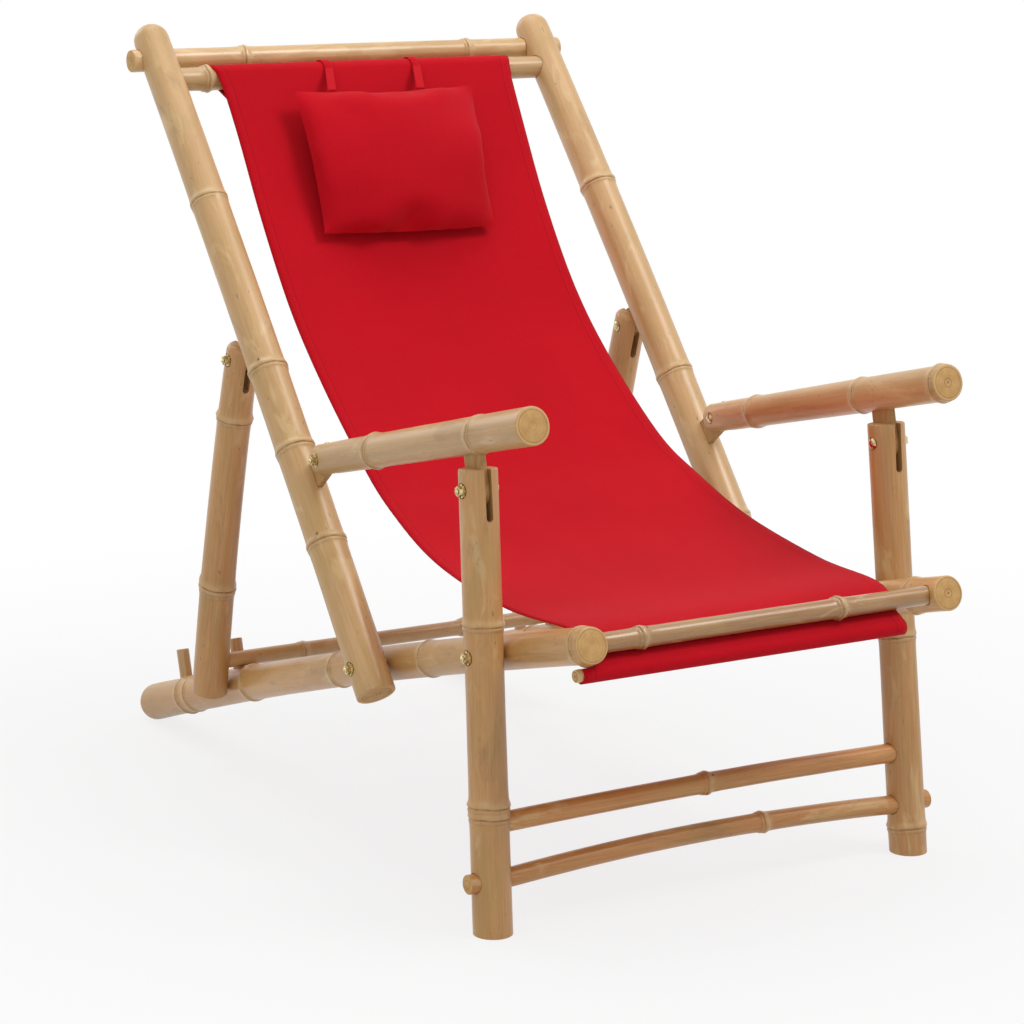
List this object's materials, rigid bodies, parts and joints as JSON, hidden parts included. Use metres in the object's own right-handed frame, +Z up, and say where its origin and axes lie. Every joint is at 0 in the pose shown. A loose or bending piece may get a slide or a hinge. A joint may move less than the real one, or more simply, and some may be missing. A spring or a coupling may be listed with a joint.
{
  "type": "folding recliner",
  "caption": "Bamboo folding recliner: leaning back poles, sloping side rails, forked legs and armrests bolted in a linkage, a swinging prop on rail pegs, a red canvas sling and a head pillow.",
  "frame": {"origin": "on the floor, in the middle of the overall box at rest", "axes": "+Z up, the sitter faces -Y, +X is the sitter's left"},
  "size_m": [0.602, 1.0552, 0.8986],
  "materials": {
    "bamboo_pole": "satin varnish",
    "bamboo_rod": "satin varnish",
    "bamboo_split": "matt cut face",
    "canvas": "matt plain weave",
    "zinc": "yellow zinc plate"
  },
  "bodies": {
    "seat_frame": {"rail_right": "bamboo_pole", "rail_left": "bamboo_pole", "front_crossbar": "bamboo_rod", "hem_rod": "bamboo_rod", "prop_peg_1_right": "bamboo_rod", "prop_peg_2_right": "bamboo_rod", "prop_peg_3_right": "bamboo_rod", "prop_peg_1_left": "bamboo_rod", "prop_peg_2_left": "bamboo_rod", "prop_peg_3_left": "bamboo_rod", "bolt_hip_right": "zinc", "nut_hip_right": "zinc", "bolt_hip_left": "zinc", "nut_hip_left": "zinc", "bolt_knee_right": "zinc", "nut_knee_right": "zinc", "bolt_knee_left": "zinc", "nut_knee_left": "zinc", "sling": "canvas"},
    "back_frame": {"back_pole_right": "bamboo_pole", "back_pole_left": "bamboo_pole", "sling_rod": "bamboo_rod", "top_rod": "bamboo_rod", "elbow_tongue_right": "bamboo_split", "elbow_tongue_left": "bamboo_split", "prop_tongue_right": "bamboo_split", "prop_tongue_left": "bamboo_split", "head_pillow": "canvas", "pillow_strap_right": "canvas", "pillow_strap_left": "canvas"},
    "front_legs": {"front_leg_right": "bamboo_pole", "front_leg_left": "bamboo_pole", "stretcher_upper": "bamboo_rod", "stretcher_lower": "bamboo_rod", "bolt_wrist_right": "zinc", "nut_wrist_right": "zinc", "bolt_wrist_left": "zinc", "nut_wrist_left": "zinc"},
    "armrests": {"armrest_right": "bamboo_pole", "armrest_left": "bamboo_pole", "armrest_peg_right": "bamboo_split", "armrest_peg_left": "bamboo_split", "bolt_elbow_right": "zinc", "nut_elbow_right": "zinc", "bolt_elbow_left": "zinc", "nut_elbow_left": "zinc"},
    "prop_frame": {"prop_right": "bamboo_pole", "prop_left": "bamboo_pole", "prop_crossbar": "bamboo_rod", "bolt_prop_right": "zinc", "nut_prop_right": "zinc", "bolt_prop_left": "zinc", "nut_prop_left": "zinc"}
  },
  "joints": [
    {"name": "back_tilt", "type": "hinge", "parent": "seat_frame", "child": "back_frame", "pos_m": [0, -0.13836, 0.22215], "axis": [1, 0, 0], "range_deg": [0, 25], "deforming": ["sling"]},
    {"name": "leg_fold", "type": "hinge", "parent": "seat_frame", "child": "front_legs", "pos_m": [0, -0.38238, 0.28912], "axis": [1, 0, 0], "range_deg": [0, 34.2]},
    {"name": "arm_fold", "type": "hinge", "parent": "back_frame", "child": "armrests", "pos_m": [0, -0.04345, 0.43882], "axis": [1, 0, 0], "range_deg": [-18.2, 0]},
    {"name": "prop_swing", "type": "hinge", "parent": "back_frame", "child": "prop_frame", "pos_m": [0, 0.16179, 0.5233], "axis": [1, 0, 0], "range_deg": [-25, 0]}
  ],
  "couplings": [
    {"joint": "leg_fold", "follows": "back_tilt", "ratio": 1.3673},
    {"joint": "arm_fold", "follows": "back_tilt", "ratio": -0.7271},
    {"joint": "prop_swing", "follows": "back_tilt", "ratio": -1}
  ]
}
